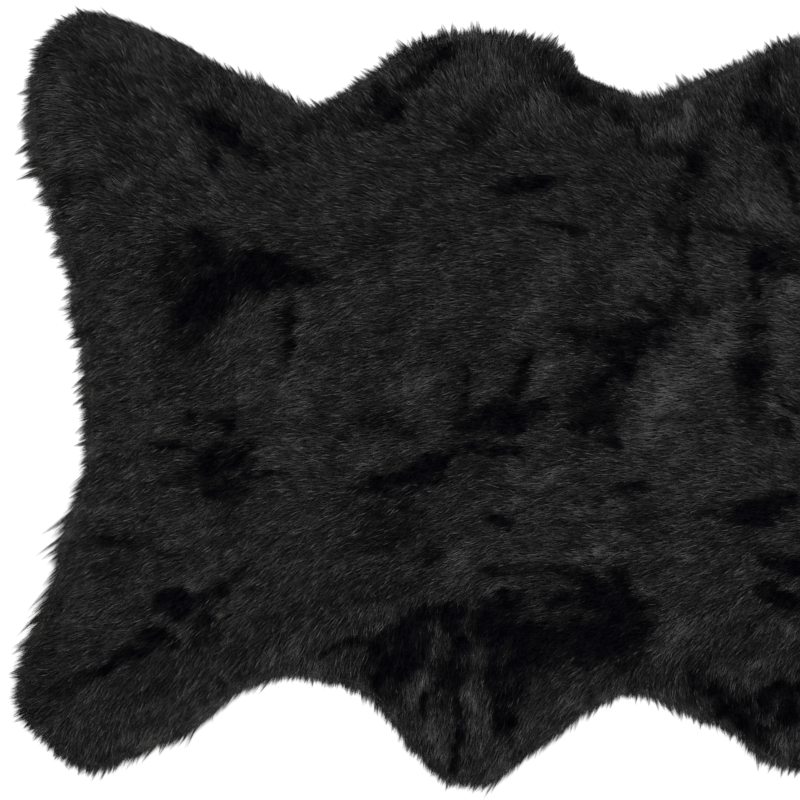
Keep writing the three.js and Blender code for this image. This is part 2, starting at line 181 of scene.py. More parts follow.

# The places where painted sheen makes the pile lighter, laid out in the same way: the last is how much
PAINTED_SHEEN_PLACES = table("x y length width turn amount", [
    (-712, 370, 120, 28, 80, 2), (-660, 440, 90, 24, -10, 2), (-592, 425, 24, 20, 0, 2.5),
    (-690, 298, 80, 50, -20, 2), (-543, 285, 90, 18, -55, 2.5), (-640, 262, 26, 24, 0, 2.5),
    (-508, 225, 20, 18, 0, 2.5), (-685, 232, 44, 16, 0, 2), (-660, 20, 44, 20, 60, 2.5),
    (-418, 100, 90, 14, 85, 3), (-458, 112, 40, 14, 60, 2.5), (-430, 18, 64, 50, 80, 3),
    (-480, 10, 50, 30, 0, 1.5), (-645, -133, 96, 12, 5, 2.5), (-668, -58, 60, 12, 85, 3),
    (-545, -215, 44, 22, 40, 2), (-495, -255, 70, 50, 0, 1.5), (-630, -412, 84, 18, 15, 2.5),
    (-540, -375, 120, 22, 32, 1.5), (-440, -60, 80, 40, 0, 1.5), (-325, 386, 90, 14, 35, 2),
    (-285, 407, 60, 12, 45, 2), (-184, 404, 60, 26, -60, 4), (-205, 385, 120, 66, -30, 1.5),
    (-138, 354, 50, 30, 60, 3.5), (-335, 232, 54, 28, 60, 2), (-410, 208, 60, 16, 0, 1.5),
    (-290, 172, 50, 34, 90, 2.5), (-115, 160, 64, 28, 75, 3), (-148, 108, 90, 34, 50, 2.5),
    (-288, 30, 90, 50, 85, 2), (-125, 32, 44, 30, 0, 2.5), (28, 326, 54, 34, 10, 5),
    (46, 345, 34, 14, 80, 5), (90, 285, 60, 28, 80, 2.5), (145, 225, 100, 46, -20, 3),
    (120, 405, 100, 18, 25, 2), (75, 72, 74, 46, 60, 5), (20, 8, 110, 56, 60, 5),
    (32, 30, 44, 14, -15, 5), (0, -35, 80, 28, 10, 4), (85, 62, 24, 20, 0, 5),
    (166, 130, 54, 28, 90, 5), (162, 60, 60, 34, 90, 4), (155, -12, 60, 14, -30, 5),
    (165, 215, 50, 16, -50, 3), (-20, 170, 90, 50, 0, 1.5), (-165, -80, 26, 16, 70, 4.5),
    (-168, -125, 26, 14, 20, 4), (-150, -46, 34, 20, 0, 3), (-230, -195, 54, 26, 75, 3),
    (-185, -225, 34, 8, 10, 4), (-345, -78, 54, 12, 25, 2.5), (22, -285, 74, 40, 60, 3.5),
    (-10, -222, 28, 14, -20, 4), (-80, -185, 64, 12, 5, 4.5), (-142, -188, 54, 12, 5, 4),
    (-35, -183, 34, 8, 15, 4.5), (45, -187, 44, 10, -5, 4.5), (-85, -133, 44, 18, 0, 3),
    (-45, -128, 28, 16, 0, 3), (-35, -160, 44, 16, -50, 3), (36, -122, 64, 20, 90, 3),
    (-120, -90, 64, 10, 25, 3.5), (30, -60, 74, 30, -20, 2.5), (170, -105, 44, 8, -60, 4.5),
    (130, -158, 34, 10, -40, 3.5), (170, -275, 54, 20, -50, 3), (135, -322, 54, 22, 50, 3),
    (70, -320, 34, 16, 10, 2.5), (145, -386, 34, 10, 50, 3), (150, -412, 60, 14, -10, 2.5),
    (-115, -375, 96, 22, 40, 2.5), (-262, -292, 70, 14, 70, 3), (-283, -347, 44, 18, 80, 4.5),
    (-262, -402, 64, 24, -60, 4.5), (-215, -358, 28, 12, -60, 4), (-196, -378, 54, 10, -80, 3.5),
    (-170, -416, 54, 18, 50, 2.5), (-415, -308, 54, 20, -20, 4), (-440, -312, 64, 22, 0, 1.5),
    (80, 30, 240, 460, 0, 1.3), (300, 60, 180, 80, 70, 2.5), (400, 220, 140, 50, 20, 2),
    (420, -180, 130, 50, -20, 2), (620, 160, 120, 50, 40, 2), (660, -180, 130, 50, -60, 2),
    (520, -340, 90, 40, 20, 1.5), (260, 180, 60, 16, -20, 4), (480, 90, 70, 30, 60, 3),
    (300, -260, 70, 20, 40, 3.5), (380, -60, 60, 14, -10, 4),
])

# The soft lumps of the whole pile in millimetres: each wave's height and length, the way that it
# runs in degrees from +X, and where it starts in radians
LUMPS = table("height length turn start", [
    (1.3, 290, 20, 0.4),
    (1.1, 205, 100, 2.1),
    (1.1, 150, 155, 4.4),
    (1.0, 118, 55, 1.3),
    (0.9, 92, 128, 3.2),
    (0.8, 74, 5, 5.1),
])

# Steps of the cut edge's curve between two rows
EDGE_STEPS = 50

# How far one row of the comb reaches before its neighbours outweigh it, in metres
COMB_REACH = 0.03

# Near the cut edge the hair follows the edge's own comb, over this width in metres
RIM_COMB_WIDTH = 0.028

# How the nap wanders: degrees, and the length in metres of the waves that it wanders in
NAP_WANDER = ((5, 0.11), (4, 0.045), (3, 0.02))

# How the tone wanders: steps of tone, and the length of their waves in metres
TONE_WANDER = ((0.03, 0.12), (0.03, 0.05), (0.038, 0.022))

# How the edges of the marks wander: millimetres, and the length of their waves in metres
MARK_WANDER = ((3.5, 0.035), (2, 0.013))

# How uneven the marks are within, as a share, and the length of the waves in metres
MARK_BLOTCH = 0.25
MARK_BLOTCH_LENGTH = 0.03

# Steps of tone on a scale from 0 to 1: the usual one, and what the painted sheen, the painted shade of the
# hollows and of the rim, each hair, each lock and the painted glints of a few hairs add or take away
USUAL_TONE = 0.558
PAINTED_SHEEN_TONE = 0.045
HOLLOW_PAINTED_SHADE = 0.063
RIM_PAINTED_SHADE = 0.015
HAIR_TONE = 0.06
LOCK_TONE = 0.045
PAINTED_GLINT_TONE = (0.1, 0.46)
PAINTED_GLINT_SHARE = 0.08

# A hair's reach as shares of its run: where ways of the nap cross, how much less in the deepest
# parting, and from hair to hair
CROSSED_RUN = 0.35
PARTED_RUN_LOSS = 0.45
RUN_SPREAD = (0.65, 1.2)

# How far a hair turns from the nap in degrees, how far it is drawn to its lock's middle as a
# share, and how far it bows aside as a share of its run
HAIR_TURN = 11
LOCK_PULL = 0.2
HAIR_BOW = 0.025

# The width of hairs as shares of the usual one
WIDTH_SPREAD = (0.7, 1.2)

# The pointed locks along the cut edge: how far apart they stand and how far they pass the edge,
# as shares of the hair's reach there
SMALL_LOCKS = {"spacing": 0.2, "least": 0.35, "most": 1.1}
LARGE_LOCKS = {"spacing": 0.42, "least": 0.6, "most": 1.4}

# How unevenly those locks are spaced, and how far they turn in degrees, each by itself and in
# waves of a length in metres
LOCK_GAPS = (0.3, 1.7)
LOCK_TURN = 7
LOCK_WANDER = 9
LOCK_WAVE = 0.03

# How much closer the hairs of such a lock stand at its tip, and the share of them in small locks
LOCK_NARROWING = 0.8
SMALL_LOCK_SHARE = 0.5

# The hairs of the pile, and the finer and longer ones along the cut edge
PILE_HAIR = {"thin": 1.0, "longer": 1.0, "loose_share": 0.14, "bends": 1}
RIM_HAIR = {"thin": 0.7, "longer": 1.25, "loose_share": 0.3, "bends": 2}

# The pieces of the pile along the rug
PILE_PARTS = ("pile_near_end", "pile_near_middle", "pile_far_middle", "pile_far_end")

# How far inside the cut edge the pile starts and the rim's hairs end, in metres
PILE_INSET = 0.001
RIM_HAIR_BAND = 0.014

# How far the cloth and the undercoat keep inside the cut edge in metres, and the cells of their
# grids along and across the rug
CLOTH_GRID = {"inset": 0.007, "along": 64, "across": 40}
UNDERCOAT_GRID = {"inset": 0.0055, "along": 112, "across": 70}

# How much a hair's colour varies along its length, in steps of tone; this also breaks the painted glints
# into short dashes
STREAK_TONE = 1.1

# What a hair's colour is multiplied by, at shares of the way from its root to its tip: painted shade,
# darkest at the root deep in the pile
PAINTED_ROOT_SHADE = ((0.0, 0.1), (0.5, 0.5), (0.8, 1.0), (1.0, 0.8))

# The soft lights: where each stands, its width in metres and its power in watts
LIGHTS = {
    "key_light": {"place": (-0.8, 1.1, 3.2), "size": 2.2, "power": 90},
    "fill_light": {"place": (1.8, -1.6, 2.6), "size": 2.5, "power": 30},
}

# The strength of the even light from all round
SKY_LIGHT = 0.5

# Half the floor's width, and how far it lies under the rug, in metres
FLOOR_HALF = 6.0
FLOOR_DROP = 0.0005

# Numbers whose multiples spread points evenly over a square
EVEN_STEPS = (0.7548776662466927, 0.5698402910980532)


class RugSizes(bpy.types.PropertyGroup):
    """Sizes of the rug."""

    pile_height: bpy.props.FloatProperty(
        name="Pile height", default=0.021, unit="LENGTH",
        description="Height of the pile's surface over the floor, away from the edge",
    )
    rim_height: bpy.props.FloatProperty(
        name="Rim height", default=0.008, unit="LENGTH",
        description="Height of the pile where it meets the cut edge",
    )
    tip_height: bpy.props.FloatProperty(
        name="Tip height", default=0.0015, unit="LENGTH",
        description="Height over the floor of the hair tips past the cut edge",
    )
    shoulder: bpy.props.FloatProperty(
        name="Shoulder width", default=0.075, unit="LENGTH",
        description="Width over which the pile rounds down to the edge",
    )
    hair_run: bpy.props.FloatProperty(
        name="Hair run", default=0.018, unit="LENGTH",
        description="How far a hair reaches along the rug where it lies flattest",
    )
    hair_depth: bpy.props.FloatProperty(
        name="Hair depth", default=0.009, unit="LENGTH",
        description="How far under the pile's surface a hair starts",
    )
    hair_width: bpy.props.FloatProperty(
        name="Hair width", default=0.00062, unit="LENGTH",
        description="Width of a hair where it is thickest; each stands for a few real ones",
    )
    lock_spacing: bpy.props.FloatProperty(
        name="Lock spacing", default=0.0045, unit="LENGTH",
        description="Distance between the soft locks that the hairs gather in",
    )
    cloth_thickness: bpy.props.FloatProperty(
        name="Cloth thickness", default=0.002, unit="LENGTH",
        description="Thickness of the knitted base cloth",
    )
    hairs: bpy.props.IntProperty(
        name="Hairs", default=364000,
        description="Number of hairs over the whole rug",
    )
    rim_hairs: bpy.props.IntProperty(
        name="Rim hairs", default=48000,
        description="Number of long fine hairs along the cut edge",
    )


class RugColours(bpy.types.PropertyGroup):
    """Colours of the rug."""

    # Painted shade: the darkest tone of the hairs, as in a deep parting, also used for the undercoat
    root: bpy.props.FloatVectorProperty(
        name="Root", default=(0.0002, 0.0001, 0.0027), subtype="COLOR",
        description="Colour of the hairs deep in a parting",
    )
    hair: bpy.props.FloatVectorProperty(
        name="Hair", default=(0.0206, 0.0206, 0.0197), subtype="COLOR",
        description="Colour of most hairs",
    )
    # Painted highlight: the colour of the few hairs made paler where the light would catch them
    painted_highlight: bpy.props.FloatVectorProperty(
        name="Glint", default=(0.2, 0.2, 0.2), subtype="COLOR",
        description="Colour of the few hairs that catch the light",
    )
    base_cloth: bpy.props.FloatVectorProperty(
        name="Base cloth", default=(0.018, 0.018, 0.019), subtype="COLOR",
        description="Colour of the knitted base cloth under the rug",
    )


class StudioSettings(bpy.types.PropertyGroup):
    """The stage, the lights and the camera."""

    view_x: bpy.props.FloatProperty(
        name="View X", default=-0.2984, unit="LENGTH",
        description="Place along the rug that the camera looks straight down at",
    )
    view_y: bpy.props.FloatProperty(
        name="View Y", default=0.0024, unit="LENGTH",
        description="Place across the rug that the camera looks straight down at",
    )
    view_width: bpy.props.FloatProperty(
        name="View width", default=0.96, unit="LENGTH",
        description="Width of the rug that the picture shows",
    )
    lens: bpy.props.FloatProperty(
        name="Lens", default=100.0,
        description="Focal length of the camera in millimetres",
    )
    floor_colour: bpy.props.FloatVectorProperty(
        name="Floor", default=(0.9, 0.9, 0.9), subtype="COLOR",
        description="Colour of the pale floor",
    )


def heading(degrees):
    """Unit steps on the floor towards some numbers of degrees from +X."""
    turn = np.radians(degrees)
    return np.stack([np.cos(turn), np.sin(turn)], axis=-1)


def unit(steps):
    """The same steps with a length of one."""
    return steps / np.maximum(np.linalg.norm(steps, axis=-1, keepdims=True), 1e-12)


def mix(start, end, share):
    """Part of the way from one value to another."""
    return start + (end - start) * share


def fade(value, start, end):
    """From 0 to 1 as a value goes from start to end, with soft ends."""
    share = np.clip((value - start) / (end - start), 0, 1)
    return share * share * (3 - 2 * share)


def tree_of(places):
    """A tree that finds the nearest of some places on the floor."""
    tree = KDTree(len(places))
    for i, (x, y) in enumerate(places):
        tree.insert((x, y, 0), i)
    tree.balance()
    return tree


def nearest_in(tree, places):
    """The number of the tree's place that is nearest to each place."""
    return np.array([tree.find((x, y, 0))[1] for x, y in places], int)


def edge_rows():
    """The rows of the cut edge all round the rug, counterclockwise."""
    mirrored = NEAR_EDGE["x"] < -FAR_FROM
    near = {name: values[mirrored][::-1] for name, values in NEAR_EDGE.items()}
    far_x = -near["x"] * FAR_STRETCH
    far = {
        "x": far_x,
        "y": near["y"] + FAR_SWAY * np.sin(far_x / FAR_SWAY_LENGTH),
        "comb": 180 - near["comb"],
        "reach": near["reach"],
    }
    return {name: np.concatenate([NEAR_EDGE[name], far[name]]) for name in NEAR_EDGE}


class CutEdge:
    """The cut edge as close points in order round the rug, with what its hair does there."""

    def __init__(self):
        rows = edge_rows()
        self.rows = (np.stack([rows["x"], rows["y"]], axis=1) + TO_MIDDLE) * MM
        before, start, end, after = (np.roll(self.rows, -k, axis=0) for k in (-1, 0, 1, 2))
        first, middle, last = (
            np.sqrt(np.linalg.norm(b - a, axis=1))[:, None]
            for a, b in ((before, start), (start, end), (end, after))
        )
        leave = (start - before) / first - (end - before) / (first + middle) + (end - start) / middle
        arrive = (end - start) / middle - (after - start) / (middle + last) + (after - end) / last
        leave, arrive, start, end = (v[:, None] for v in (leave * middle, arrive * middle, start, end))
        part = np.linspace(0, 1, EDGE_STEPS, endpoint=False)[None, :, None]
        curve = (
            start
            + leave * part
            + (3 * (end - start) - 2 * leave - arrive) * part**2
            + (2 * (start - end) + leave + arrive) * part**3
        )
        self.places = curve.reshape(-1, 2)
        ahead = np.roll(self.places, -1, axis=0)
        along = unit(ahead - np.roll(self.places, 1, axis=0))
        self.outward = np.stack([along[:, 1], -along[:, 0]], axis=1)
        combs = heading(rows["comb"])
        self.comb = unit(mix(combs[:, None], np.roll(combs, -1, axis=0)[:, None], part).reshape(-1, 2))
        reach = rows["reach"] * MM
        self.reach = mix(reach[:, None], np.roll(reach, -1)[:, None], part[:, :, 0]).reshape(-1)
        self.steps = np.linalg.norm(ahead - self.places, axis=1)
        self.length = self.steps.sum()
        self.share = np.concatenate([[0], np.cumsum(self.steps)[:-1]]) / self.length
        self.low = self.places.min(axis=0)
        self.size = self.places.max(axis=0) - self.low
        swept = self.places[:, 0] * ahead[:, 1] - ahead[:, 0] * self.places[:, 1]
        self.area = 0.5 * float(swept.sum())
        self.tree = tree_of(self.places)

    def beside(self, places):
        """For each place, the nearest point of the edge and how far inside it the place lies."""
        nearest = nearest_in(self.tree, places)
        gap = places - self.places[nearest]
        side = -np.sign((gap * self.outward[nearest]).sum(1))
        return nearest, side * np.linalg.norm(gap, axis=1)

    def at(self, shares, inset):
        """Places at shares of the edge's length, some way inside it."""
        wrapped = np.concatenate([self.share, [1]])
        places = np.concatenate([self.places, self.places[:1]])
        outward = np.concatenate([self.outward, self.outward[:1]])
        out = [np.interp(shares % 1, wrapped, values) for values in (*places.T, *outward.T)]
        return np.stack(out[:2], axis=1) - inset * unit(np.stack(out[2:], axis=1))

    def paw(self, across):
        """Share of the edge's length at the row that reaches furthest towards one corner."""
        return self.share[int((self.rows @ np.array(across)).argmax()) * EDGE_STEPS]

    def spread(self, count, rng, least_inside=0.0, most_inside=math.inf, jitter=0.0):
        """About so many places spread evenly between two distances inside the edge."""
        band = min(self.area, self.length * most_inside)
        tries = int(count * self.size.prod() / band)
        steps = np.arange(1, tries + 1)[:, None]
        places = self.low + (steps * EVEN_STEPS % 1) * self.size
        places += rng.normal(0, 1, places.shape) * jitter
        nearest, inside = self.beside(places)
        kept = (inside > least_inside) & (inside < most_inside)
        return places[kept], nearest[kept], inside[kept]


def waves(places, rows):
    """The height of some waves at each place."""
    phase = 2 * math.pi * (places @ heading(rows["turn"]).T) / rows["length"] + rows["start"]
    return np.sin(phase) @ rows["height"]


def ripple(places, length, rng, count=10):
    """A smooth uneven value, mostly from -1 to 1, whose waves are about as long as the length."""
    return waves(places, {
        "height": np.full(count, math.sqrt(1 / count)),
        "length": length * rng.uniform(0.7, 1.5, count),
        "turn": rng.uniform(0, 360, count),
        "start": rng.uniform(0, 2 * math.pi, count),
    })


def marks(places, rows):
    """The greatest amount of some marks at each place. Their edges are uneven."""
    rng = np.random.default_rng(4)
    sway = sum(
        size * np.stack([ripple(places, length, rng), ripple(places, length, rng)], axis=1)
        for size, length in MARK_WANDER
    )
    blotches = 1 + MARK_BLOTCH * ripple(places, MARK_BLOTCH_LENGTH, rng)
    places = places / MM - TO_MIDDLE + sway
    most = np.zeros(len(places))
    for row in range(len(rows["x"])):
        x, y, length, width, turn, much = (values[row] for values in rows.values())
        gap = places - (x, y)
        near = np.flatnonzero((np.abs(gap) < 0.8 * max(length, width)).all(1))
        along = 2 * (gap[near] @ heading(turn)) / length
        across = 2 * (gap[near] @ heading(turn + 90)) / width
        out = (np.abs(along) ** 1.6 + np.abs(across) ** 1.6) ** (1 / 1.6)
        there = much * (1 - fade(out, 0.4, 1.6))
        most[near] = np.maximum(most[near], there)
    return most * blotches


def pile_top(places, inside, reach, sizes):
    """Height of the pile's surface over the floor at each place."""
    shoulder = 1 - (1 - np.clip(inside / sizes.shoulder, 0, 1)) ** 2
    crown = mix(sizes.rim_height, sizes.pile_height, shoulder)
    lumps = (waves(places / MM - TO_MIDDLE, LUMPS) - marks(places, HOLLOWS)) * MM
    on_rug = np.maximum(crown + shoulder * lumps, 0.6 * sizes.rim_height)
    past = np.clip(-inside / reach, 0, 1)
    return np.where(inside > 0, on_rug, mix(sizes.rim_height, sizes.tip_height, past))


def nap(places, edge, nearest, inside):
    """The way that the hair lies in degrees from +X, and how flat it lies from 0 to 1."""
    total = np.zeros(len(places))
    flow = np.zeros((len(places), 2))
    rows = (np.stack([COMB["x"], COMB["y"]], axis=1) + TO_MIDDLE) * MM
    for row, towards in zip(rows, heading(COMB["comb"])):
        weight = (((places - row) ** 2).sum(1) + COMB_REACH**2) ** -2
        total += weight
        flow += weight[:, None] * towards
    rim = np.exp(-((np.maximum(inside, 0) / RIM_COMB_WIDTH) ** 2))[:, None]
    flow = mix(flow / total[:, None], edge.comb[nearest], rim)
    rng = np.random.default_rng(5)
    uneven = sum(size * ripple(places, length, rng) for size, length in NAP_WANDER)
    turn = np.degrees(np.arctan2(flow[:, 1], flow[:, 0])) + uneven
    return turn, np.clip(np.linalg.norm(flow, axis=1), 0.3, 1)


class Locks:
    """The locks that hairs gather in, each with a start and a tip of its own."""

    def __init__(self, starts, tips, rng):
        self.starts = starts
        self.tips = tips
        self.tree = tree_of(starts)
        self.lift = rng.normal(0, 0.9, len(tips)) * MM
        self.tone = rng.normal(0, 1, len(tips))

    def nearest(self, places):
        """The number of the lock whose start is nearest to each place."""
        return nearest_in(self.tree, places)

    def gather(self, places, share, narrow):
        """Places moved a share of the way to the tips of their locks, and closer to the middles."""
        own = self.nearest(places)
        beside = mix(places, self.starts[own], (narrow * np.maximum(share, 0))[:, None])
        return beside + (self.tips - self.starts)[own] * share[:, None]


def rim_locks(edge, rng, spacing, least, most):
    """Pointed locks along the cut edge, set apart and passing it by shares of its reach."""
    so_far = np.cumsum(edge.steps / (spacing * edge.reach))
    count = int(so_far[-1])
    gaps = rng.uniform(*LOCK_GAPS, count)
    starts = edge.at(np.interp(np.cumsum(gaps) * so_far[-1] / gaps.sum(), so_far, edge.share), 0)
    nearest = nearest_in(edge.tree, starts)
    comb = edge.comb[nearest]
    turn = np.degrees(np.arctan2(comb[:, 1], comb[:, 0]))
    turn += rng.normal(0, LOCK_TURN, count)
    turn += LOCK_WANDER * ripple(starts, LOCK_WAVE, np.random.default_rng(9))
    towards = heading(turn)
    slant = np.maximum((towards * edge.outward[nearest]).sum(1), 0.55)
    past = edge.reach[nearest] * rng.uniform(least, most, count) * gaps**0.3
    past *= 1 + 0.2 * ripple(starts, LOCK_WAVE, np.random.default_rng(8))
    return Locks(starts, starts + towards * (past / slant)[:, None], rng)


def rug_locks(edge, sizes):
    """The soft locks over the whole rug, and the small and the large pointed ones at its rim."""
    rng = np.random.default_rng(7)
    places = edge.spread(edge.area / sizes.lock_spacing**2, rng, jitter=0.3 * sizes.lock_spacing)[0]
    return (
        Locks(places, places, rng),
        rim_locks(edge, rng, **SMALL_LOCKS),
        rim_locks(edge, rng, **LARGE_LOCKS),
    )


def hair_tones(places, inside):
    """How light the hairs are at each place, as steps from the usual tone with painted sheen and painted
    shade, and how parted.
    """
    rng = np.random.default_rng(6)
    tone = sum(size * ripple(places, length, rng) for size, length in TONE_WANDER)
    # How much painted shade the hollows put on the hairs, less past the cut edge
    hollow_shade = marks(places, HOLLOWS) * fade(inside, -0.006, 0.006)
    # Painted sheen added at the shining places, and the painted shade of the hollows taken away
    tone += PAINTED_SHEEN_TONE * marks(places, PAINTED_SHEEN_PLACES) - HOLLOW_PAINTED_SHADE * hollow_shade
    # Painted shade along the rim, where the pile rounds down
    tone -= RIM_PAINTED_SHADE * (1 - fade(np.abs(inside), 0.004, 0.016))
    return tone, np.clip(hollow_shade / HOLLOWS["depth"].max(), 0, 1)


def grow(roots, nearest, inside, edge, locks, sizes, rng, thin, longer, loose_share, bends):
    """Lines of the hairs from their roots, as (hair, point, axis), with their widths and tones."""
    count = len(roots)
    turn, lie = nap(roots, edge, nearest, inside)
    parted = marks(roots, HOLLOWS) / HOLLOWS["depth"].max()
    run = sizes.hair_run * longer * mix(CROSSED_RUN, 1, lie) * (1 - PARTED_RUN_LOSS * parted)
    run *= rng.uniform(*RUN_SPREAD, count)
    tips = roots + heading(turn + rng.normal(0, HAIR_TURN, count)) * run[:, None]
    soft, small, large = locks
    own = soft.nearest(tips)
    tips = mix(tips, soft.tips[own], rng.uniform(0, LOCK_PULL, (count, 1)))

    # The hairs that would pass the cut edge gather there in points, but for a few loose ones
    tip_nearest, tip_inside = nearest.copy(), inside.copy()
    rim = np.flatnonzero(inside < 1.3 * longer * sizes.hair_run)
    tip_nearest[rim], tip_inside[rim] = edge.beside(tips[rim])
    rim = rim[tip_inside[rim] < 0]
    share = inside[rim] / (inside[rim] - tip_inside[rim]) + rng.normal(0, 0.1, len(rim))
    crossing = mix(roots[rim], tips[rim], share[:, None])
    most = edge.reach[tip_nearest[rim]] * rng.uniform(0, 1, len(rim)) ** 1.5
    loose = crossing + (tips[rim] - crossing) * np.minimum(1, most / -tip_inside[rim])[:, None]
    least = np.clip(0.5 - share, -0.2, 0.5)
    drawn = mix(least, 1, rng.uniform(0, 1, len(rim)) ** 2)
    lesser, greater = (group.gather(crossing, drawn, LOCK_NARROWING) for group in (small, large))
    kind = rng.uniform(0, 1, (len(rim), 1))
    tips[rim] = np.where(kind < loose_share, loose, np.where(kind < SMALL_LOCK_SHARE, lesser, greater))
    tip_nearest[rim], tip_inside[rim] = edge.beside(tips[rim])

    top = pile_top(roots, inside, edge.reach[nearest], sizes)
    tip_top = pile_top(tips, tip_inside, edge.reach[tip_nearest], sizes)
    low = np.maximum(top - sizes.hair_depth, 1.2 * sizes.cloth_thickness)
    under = sizes.hair_depth * 0.5 * rng.uniform(0, 1, count) ** 1.6
    on_rug = np.clip(tip_inside / sizes.hair_run, 0, 1)
    high = tip_top - mix(0.4, 1, on_rug) * under + on_rug * soft.lift[own]
    high = np.maximum(high, 0.5 * sizes.tip_height)

    across = np.stack([-(tips - roots)[:, 1], (tips - roots)[:, 0]], axis=1)
    sway = rng.normal(0, HAIR_BOW, count)
    line = np.zeros((count, bends + 2, 3))
    for k, part in enumerate(np.linspace(0, 1, bends + 2)):
        line[:, k, :2] = mix(roots, tips, part) + across * (sway * 4 * part * (1 - part))[:, None]
        line[:, k, 2] = mix(low, high, 1 - (1 - part) ** 1.8)

    tone, parted = hair_tones(mix(roots, tips, 0.7), tip_inside)
    uneven = rng.normal(0, HAIR_TONE, count) + LOCK_TONE * soft.tone[own]
    # Painted glints: a few hairs made paler, less so in the painted shade of partings
    painted_shine_hairs = rng.uniform(0, 1, count) < PAINTED_GLINT_SHARE
    uneven[painted_shine_hairs] += rng.uniform(*PAINTED_GLINT_TONE, painted_shine_hairs.sum()) * (1 - 0.6 * parted[painted_shine_hairs])
    tone += USUAL_TONE + uneven * (1 + 0.5 * parted)
    width = sizes.hair_width * thin * rng.uniform(*WIDTH_SPREAD, count)
    return line, width, np.clip(tone, 0.02, 0.98)


def add_piece(name, mesh, material):
    """A new piece on the rug's body, in place of the plain solid."""
    mesh.polygons.foreach_set("use_smooth", np.ones(len(mesh.polygons), bool))
    mesh.materials.append(material)
    piece = bpy.data.objects.new(name, mesh)
    bpy.context.collection.objects.link(piece)
    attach(piece, BODY)
    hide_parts(NODE)
    return piece


def blades(name, line, width, tone, rng, material):
    """One mesh of flat pointed blades, a blade along each hair's line, widest at its middle."""
    count, points = line.shape[:2]
    side = unit(np.cross(unit(line[:, -1] - line[:, 0]), (0, 0, 1)))[:, None]
    roll = rng.normal(0, 0.5, count)[:, None, None]
    along = unit(line[:, -1] - line[:, 0])[:, None]
    side = side * np.cos(roll) + np.cross(side, along) * np.sin(roll)
    share = np.linspace(0, 1, points)[1:-1]
    taper = np.minimum(1, 2.2 * (1 - share))
    half = 0.5 * side * (width[:, None] * taper)[:, :, None]
    middles = line[:, 1:-1]
    pairs = np.stack([middles - half, middles + half], axis=2).reshape(count, -1, 3)
    corners = np.concatenate([line[:, :1], pairs, line[:, -1:]], axis=1)

    per = corners.shape[1]
    quads = [(k, k + 1, k + 3, k + 2) for k in range(1, per - 3, 2)]
    faces = [(0, 2, 1), *quads, (per - 3, per - 2, per - 1)]
    pattern = np.concatenate(faces)
    loops = (np.arange(count)[:, None] * per + pattern).ravel()
    totals = np.tile([len(face) for face in faces], count)
    starts = np.concatenate([[0], np.cumsum(totals)[:-1]])

    mesh = bpy.data.meshes.new(name)
    mesh.vertices.add(count * per)
    mesh.vertices.foreach_set("co", corners.astype(np.float32).ravel())
    mesh.loops.add(len(loops))
    mesh.loops.foreach_set("vertex_index", loops.astype(np.int32))
    mesh.polygons.add(len(totals))
    mesh.polygons.foreach_set("loop_start", starts.astype(np.int32))
    mesh.update(calc_edges=True)

    # The hair's tone across the map, and the way from root to tip up it
    up = np.concatenate([[0], np.repeat(share, 2), [1]])
    aside = np.concatenate([[0], np.tile([-1, 1], points - 2), [0]])
    spots = np.empty((count, len(pattern), 2), np.float32)
    spots[:, :, 0] = tone[:, None] + 0.008 * aside[pattern]
    spots[:, :, 1] = mix(0.02, 0.98, up[pattern])
    mesh.uv_layers.new(name=HAIR_MAP).data.foreach_set("uv", spots.ravel())
    return add_piece(name, mesh, material)


def hide_grid(edge, inset, along, across):
    """A grid of places stretched between the paws, some way inside the cut edge."""
    paws = [edge.paw(corner) for corner in ((-1, -1.6), (1, -1.6), (1, 1.6), (-1, 1.6))]

    def side(start, end, cells):
        span = (end - start) % 1
        return edge.at(start + span * np.linspace(0, 1, cells + 1), inset)

    bottom = side(paws[0], paws[1], along)[:, None]
    far = side(paws[1], paws[2], across)[None]
    top = side(paws[2], paws[3], along)[::-1][:, None]
    near = side(paws[3], paws[0], across)[::-1][None]
    s = np.linspace(0, 1, along + 1)[:, None, None]
    t = np.linspace(0, 1, across + 1)[None, :, None]
    flat = mix(mix(bottom[:1], bottom[-1:], s), mix(top[:1], top[-1:], s), t)
    return mix(bottom, top, t) + mix(near, far, s) - flat


def slab(name, grid, low, high, material):
    """A closed mesh over a grid of places, between one height and the height at each place."""
    columns, rows = grid.shape[:2]
    count = columns * rows
    places = grid.reshape(-1, 2)
    upper = np.concatenate([places, np.reshape(high, (-1, 1))], axis=1)
    lower = np.concatenate([places, np.full((count, 1), low)], axis=1)
    index = np.arange(count).reshape(columns, rows)
    a, b, c, d = index[:-1, :-1], index[1:, :-1], index[1:, 1:], index[:-1, 1:]
    tops = np.stack([a, b, c, d], axis=-1).reshape(-1, 4)
    unders = np.stack([a, d, c, b], axis=-1).reshape(-1, 4) + count
    ring = np.concatenate([index[:-1, 0], index[-1, :-1], index[:0:-1, -1], index[0, :0:-1]])
    after = np.roll(ring, -1)
    walls = np.stack([ring + count, after + count, after, ring], axis=-1)
    mesh = bpy.data.meshes.new(name)
    faces = np.concatenate([tops, unders, walls]).tolist()
    mesh.from_pydata(np.concatenate([upper, lower]).tolist(), [], faces)
    return add_piece(name, mesh, material)


